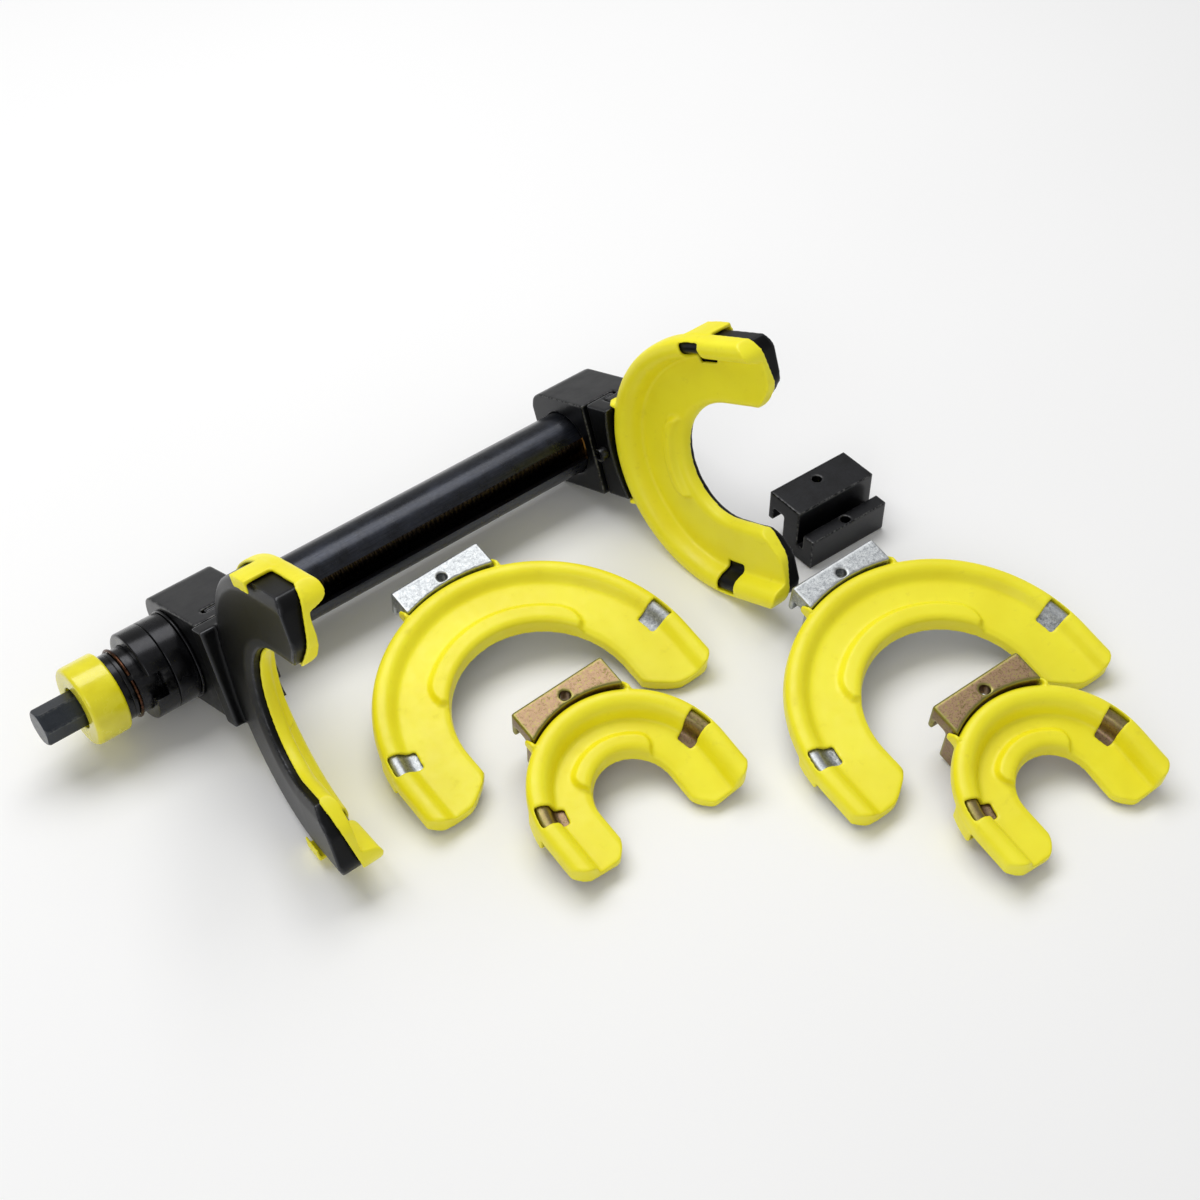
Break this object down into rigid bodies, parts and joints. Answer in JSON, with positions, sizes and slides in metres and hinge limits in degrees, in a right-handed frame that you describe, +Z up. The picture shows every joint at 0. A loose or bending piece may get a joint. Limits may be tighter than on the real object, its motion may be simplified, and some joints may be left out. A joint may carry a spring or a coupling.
{
  "type": "coil spring compressor kit",
  "caption": "Screw-driven coil spring compressor: a slotted tube carries two hooked C-shaped jaws with plastic seat covers; spare jaws and an adapter block lie beside it.",
  "frame": {"origin": "centre of the bounding box on the floor", "axes": "+X along the tool tube from the hex drive end to the far end, +Z up, jaws and loose pieces towards -Y"},
  "size_m": [0.5932, 0.5132, 0.1964],
  "materials": {
    "dark_hex_steel": "dark oxide, machined",
    "yellow_paint": "gloss",
    "black_oxide": "black oxide, satin",
    "forged_black": "black oxide over a forged skin",
    "spring_steel": "tempered",
    "bright_steel": "ground",
    "bronze": "cast and turned",
    "yellow_plastic": "moulded, satin",
    "clear_zinc": "clear zinc plate",
    "yellow_zinc": "yellow passivated zinc plate"
  },
  "bodies": {
    "tool": {"slotted_tube": "black_oxide", "end_plug": "black_oxide", "fixed_carrier": "black_oxide", "bearing_collar": "black_oxide", "bearing_housing": "black_oxide", "retaining_ring": "black_oxide", "thrust_race_rear": "bright_steel"},
    "drive_spindle": {"spindle": "dark_hex_steel", "drive_ring": "yellow_paint", "drive_sleeve": "black_oxide", "snap_ring": "spring_steel", "thrust_race_front": "bright_steel", "thrust_roller_cage": "bright_steel"},
    "carriage": {"travelling_carrier": "black_oxide", "spindle_nut": "bronze", "nut_key": "bright_steel"},
    "fixed_jaw": {"fixed_jaw_plate": "forged_black", "fixed_jaw_cover": "yellow_plastic"},
    "travelling_jaw": {"travelling_jaw_plate": "forged_black", "travelling_jaw_cover": "yellow_plastic"},
    "fixed_jaw_screw": {"fixed_jaw_lock_screw": "black_oxide"},
    "travelling_jaw_screw": {"travelling_jaw_lock_screw": "black_oxide"},
    "adapter": {"adapter_block": "black_oxide"},
    "large_jaw_1": {"large_jaw_1_plate": "clear_zinc", "large_jaw_1_cover": "yellow_plastic"},
    "large_jaw_2": {"large_jaw_2_plate": "clear_zinc", "large_jaw_2_cover": "yellow_plastic"},
    "small_jaw_1": {"small_jaw_1_plate": "yellow_zinc", "small_jaw_1_cover": "yellow_plastic"},
    "small_jaw_2": {"small_jaw_2_plate": "yellow_zinc", "small_jaw_2_cover": "yellow_plastic"}
  },
  "joints": [
    {"name": "spindle_turn", "type": "hinge", "parent": "tool", "child": "drive_spindle", "pos_m": [-0.29659, 0.21744, 0.04098], "axis": [1, 0, 0], "range_deg": [0, 3600]},
    {"name": "carriage_travel", "type": "slide", "parent": "tool", "child": "carriage", "axis": [-1, 0, 0], "range_m": [0, 0.04]},
    {"name": "fixed_jaw_unhook", "type": "slide", "parent": "tool", "child": "fixed_jaw", "axis": [1, 0, 0], "range_m": [0, 0.0135]},
    {"name": "travelling_jaw_unhook", "type": "slide", "parent": "carriage", "child": "travelling_jaw", "axis": [-1, 0, 0], "range_m": [0, 0.014]},
    {"name": "fixed_screw_turn", "type": "hinge", "parent": "fixed_jaw", "child": "fixed_jaw_screw", "pos_m": [-0.15649, 0.1765, 0.05696], "axis": [1, 0, 0], "continuous": true},
    {"name": "travelling_screw_turn", "type": "hinge", "parent": "travelling_jaw", "child": "travelling_jaw_screw", "pos_m": [0.13531, 0.1765, 0.05696], "axis": [1, 0, 0], "continuous": true},
    {"name": "large_jaw_1_lift", "type": "slide", "parent": "tool", "child": "large_jaw_1", "axis": [0, 0, 1], "range_m": [0, 0.25]},
    {"name": "large_jaw_2_lift", "type": "slide", "parent": "tool", "child": "large_jaw_2", "axis": [0, 0, 1], "range_m": [0, 0.25]},
    {"name": "small_jaw_1_lift", "type": "slide", "parent": "tool", "child": "small_jaw_1", "axis": [0, 0, 1], "range_m": [0, 0.25]},
    {"name": "small_jaw_2_lift", "type": "slide", "parent": "tool", "child": "small_jaw_2", "axis": [0, 0, 1], "range_m": [0, 0.25]},
    {"name": "adapter_lift", "type": "slide", "parent": "tool", "child": "adapter", "axis": [0, 0, 1], "range_m": [0, 0.25]}
  ],
  "couplings": [
    {"joint": "carriage_travel", "follows": "spindle_turn", "m_per_rad": 0.00063656}
  ]
}
